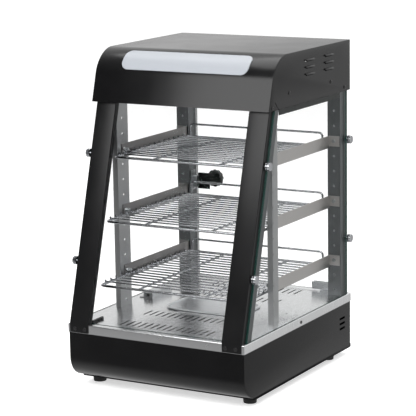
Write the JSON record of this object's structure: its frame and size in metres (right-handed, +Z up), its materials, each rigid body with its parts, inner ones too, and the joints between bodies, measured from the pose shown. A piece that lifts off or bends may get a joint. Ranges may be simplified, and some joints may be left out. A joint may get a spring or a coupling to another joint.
{
  "type": "hot food display case",
  "caption": "Countertop heated display case with a sloping glass front, wire shelves over a water pan, a lit hood and a hinged glass rear door.",
  "frame": {"origin": "floor level under the middle of the bounding box", "axes": "X to the right of someone facing the front, Y towards the rear door, Z up"},
  "size_m": [0.3836, 0.4628, 0.62],
  "materials": {
    "black_sheet": "satin black powder coat",
    "galvanised_sheet": "galvanised sheet steel",
    "stainless_sheet": "bright brushed stainless",
    "satin_stainless": "satin stainless",
    "element_sheath": "heat-darkened metal sheath",
    "copper": "bare copper",
    "cream_plastic": "moulded cream plastic",
    "white_plastic": "moulded white plastic",
    "black_plastic": "moulded black plastic",
    "red_rocker": "translucent red rocker",
    "green_rocker": "translucent green rocker",
    "red_lens": "clear red lens",
    "black_rubber": "matt moulded rubber",
    "zinc_steel": "bright zinc plate",
    "dark_screw": "blackened screw",
    "chrome": "polished chrome",
    "chrome_wire": "bright chrome-plated wire",
    "glass": "clear toughened glass",
    "diffuser": "translucent white acrylic",
    "lamp_glass": "white fluorescent tube"
  },
  "bodies": {
    "case": {"base_shell": "black_sheet", "bottom_plate": "galvanised_sheet", "rear_panel": "black_sheet", "deck": "stainless_sheet", "heating_element": "element_sheath", "element_brackets": "galvanised_sheet", "heat_shield": "galvanised_sheet", "thermostat": "cream_plastic", "sensing_bulb": "copper", "probe_guard": "stainless_sheet", "switch_housings": "black_plastic", "pilot_lamp": "red_lens", "cable_gland": "black_plastic", "terminal_block": "cream_plastic", "feet": "black_rubber", "base_screws": "zinc_steel", "front_post_left": "satin_stainless", "front_post_right": "satin_stainless", "rear_post_left": "satin_stainless", "rear_post_right": "satin_stainless", "shelf_arm_top_left": "satin_stainless", "shelf_arm_top_right": "satin_stainless", "shelf_arm_middle_left": "satin_stainless", "shelf_arm_middle_right": "satin_stainless", "shelf_arm_bottom_left": "satin_stainless", "shelf_arm_bottom_right": "satin_stainless", "arm_bolts": "zinc_steel", "post_cover_left": "black_sheet", "post_cover_right": "black_sheet", "sloping_angle_left": "satin_stainless", "sloping_angle_right": "satin_stainless", "cover_screws": "dark_screw", "front_glass": "glass", "side_glass_left": "glass", "side_glass_right": "glass", "glass_caps": "chrome", "front_glass_clips": "black_plastic", "top_rail_left": "black_sheet", "top_rail_right": "black_sheet", "hood_shell": "black_sheet", "hood_side_left": "black_sheet", "hood_side_right": "black_sheet", "hood_rear": "black_sheet", "hood_ceiling": "galvanised_sheet", "hood_screws": "dark_screw", "light_lens": "diffuser", "lamp_tube": "lamp_glass", "lamp_holders": "white_plastic", "hinge_brackets": "satin_stainless", "door_catch": "satin_stainless"},
    "door": {"door_glass": "glass", "door_knob": "black_plastic", "hinge_clamps": "satin_stainless"},
    "top_shelf": {"shelf_top": "chrome_wire"},
    "middle_shelf": {"shelf_middle": "chrome_wire"},
    "bottom_shelf": {"shelf_bottom": "chrome_wire"},
    "pan": {"water_pan": "stainless_sheet"},
    "dial": {"thermostat_knob": "black_plastic"},
    "heat_switch": {"heat_rocker": "red_rocker"},
    "light_switch": {"light_rocker": "green_rocker"}
  },
  "joints": [
    {"name": "door_hinge", "type": "hinge", "parent": "case", "child": "door", "pos_m": [0.144, 0.20425, 0.324], "axis": [0, 0, -1], "range_deg": [0, 110]},
    {"name": "top_shelf_lift", "type": "slide", "parent": "case", "child": "top_shelf", "axis": [0, 0, 1], "range_m": [0, 0.02]},
    {"name": "middle_shelf_lift", "type": "slide", "parent": "case", "child": "middle_shelf", "axis": [0, 0, 1], "range_m": [0, 0.02]},
    {"name": "bottom_shelf_lift", "type": "slide", "parent": "case", "child": "bottom_shelf", "axis": [0, 0, 1], "range_m": [0, 0.02]},
    {"name": "pan_lift", "type": "slide", "parent": "case", "child": "pan", "axis": [0, 0, 1], "range_m": [0, 0.04]},
    {"name": "dial_turn", "type": "hinge", "parent": "case", "child": "dial", "pos_m": [0.078, 0.21785, 0.067], "axis": [0, 1, 0], "range_deg": [0, 270]},
    {"name": "heat_switch_tilt", "type": "hinge", "parent": "case", "child": "heat_switch", "pos_m": [0.018, 0.21085, 0.067], "axis": [-1, 0, 0], "range_deg": [0, 14]},
    {"name": "light_switch_tilt", "type": "hinge", "parent": "case", "child": "light_switch", "pos_m": [-0.026, 0.21085, 0.067], "axis": [-1, 0, 0], "range_deg": [0, 14]}
  ]
}
